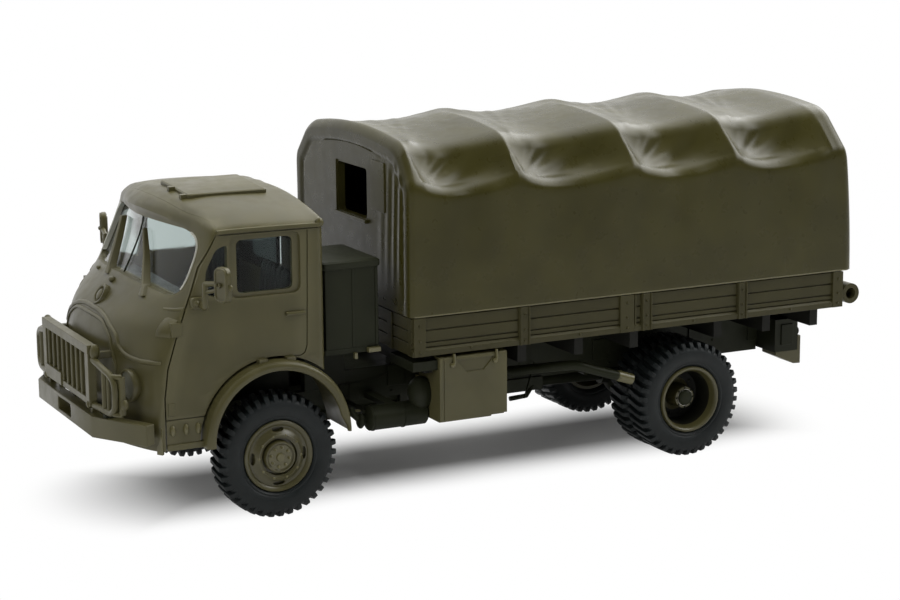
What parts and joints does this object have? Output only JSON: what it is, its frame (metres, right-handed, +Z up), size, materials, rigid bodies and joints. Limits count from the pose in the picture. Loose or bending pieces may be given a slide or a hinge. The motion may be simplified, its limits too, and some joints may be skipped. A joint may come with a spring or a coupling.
{
  "type": "scale model of a covered military cargo truck",
  "caption": "Small plastic model of a forward-control military cargo truck with a covered bed, brush guard and rolling wheels.",
  "frame": {"origin": "centre of the footprint of the whole model on the ground", "axes": "+X forward, +Y to the truck's left side, +Z up"},
  "size_m": [0.0772, 0.0338, 0.0333],
  "materials": {
    "body": "satin moulded plastic, brownish olive",
    "chassis": "satin moulded plastic, darker olive",
    "bed": "satin moulded plastic, brownish olive",
    "cover": "satin moulded plastic with a soft sheen",
    "rim": "satin moulded plastic",
    "tyre": "matt near-black with a cool tint",
    "steel_pin": "turned steel",
    "glazing": "clear moulded glazing",
    "interior": "satin moulded plastic, blue grey",
    "lamp": "clear lens over a moulded reflector"
  },
  "bodies": {
    "chassis": {"air_tank": "chassis", "badge_disc": "body", "bed_bearers": "bed", "bed_floor": "bed", "bed_front_board": "bed", "bed_runners": "bed", "bed_side_left": "bed", "bed_side_right": "bed", "brush_guard": "body", "bumper": "body", "cab_floor": "interior", "cab_front": "body", "cab_shell": "body", "cargo_cover": "cover", "cross_members": "chassis", "dashboard": "interior", "engine_underside": "chassis", "exhaust_pipe": "chassis", "frame_rail_left": "chassis", "frame_rail_right": "chassis", "front_axle_housing": "chassis", "front_axle_pin": "steel_pin", "front_fenders": "body", "fuel_tank": "chassis", "grille": "body", "headlamps": "lamp", "lamp_guards": "body", "leaf_springs": "chassis", "marker_lamps": "body", "mirrors": "body", "propshafts": "chassis", "rear_axle_housing": "chassis", "rear_axle_pin": "steel_pin", "rear_bumperettes": "chassis", "rear_tube": "bed", "rear_window": "glazing", "roof_hatch": "body", "seats": "interior", "side_locker": "chassis", "side_windows": "glazing", "silencer": "chassis", "steering_wheel": "interior", "stowage_box": "chassis", "tailgate": "bed", "tow_hitch": "chassis", "transfer_case": "chassis", "windscreen": "glazing", "wipers": "body"},
    "wheel_front_left": {"wheel_front_left_rim": "rim", "wheel_front_left_tyre": "tyre"},
    "wheel_front_right": {"wheel_front_right_rim": "rim", "wheel_front_right_tyre": "tyre"},
    "wheel_rear_left": {"wheel_rear_left_rim": "rim", "wheel_rear_left_tyres": "tyre"},
    "wheel_rear_right": {"wheel_rear_right_rim": "rim", "wheel_rear_right_tyres": "tyre"}
  },
  "joints": [
    {"name": "wheel_front_left_roll", "type": "hinge", "parent": "chassis", "child": "wheel_front_left", "pos_m": [0.02316, 0.0113, 0.00559], "axis": [0, 1, 0], "continuous": true},
    {"name": "wheel_front_right_roll", "type": "hinge", "parent": "chassis", "child": "wheel_front_right", "pos_m": [0.02316, -0.0113, 0.00559], "axis": [0, 1, 0], "continuous": true},
    {"name": "wheel_rear_left_roll", "type": "hinge", "parent": "chassis", "child": "wheel_rear_left", "pos_m": [-0.01934, 0.0094, 0.00559], "axis": [0, 1, 0], "continuous": true},
    {"name": "wheel_rear_right_roll", "type": "hinge", "parent": "chassis", "child": "wheel_rear_right", "pos_m": [-0.01934, -0.0094, 0.00559], "axis": [0, 1, 0], "continuous": true}
  ]
}
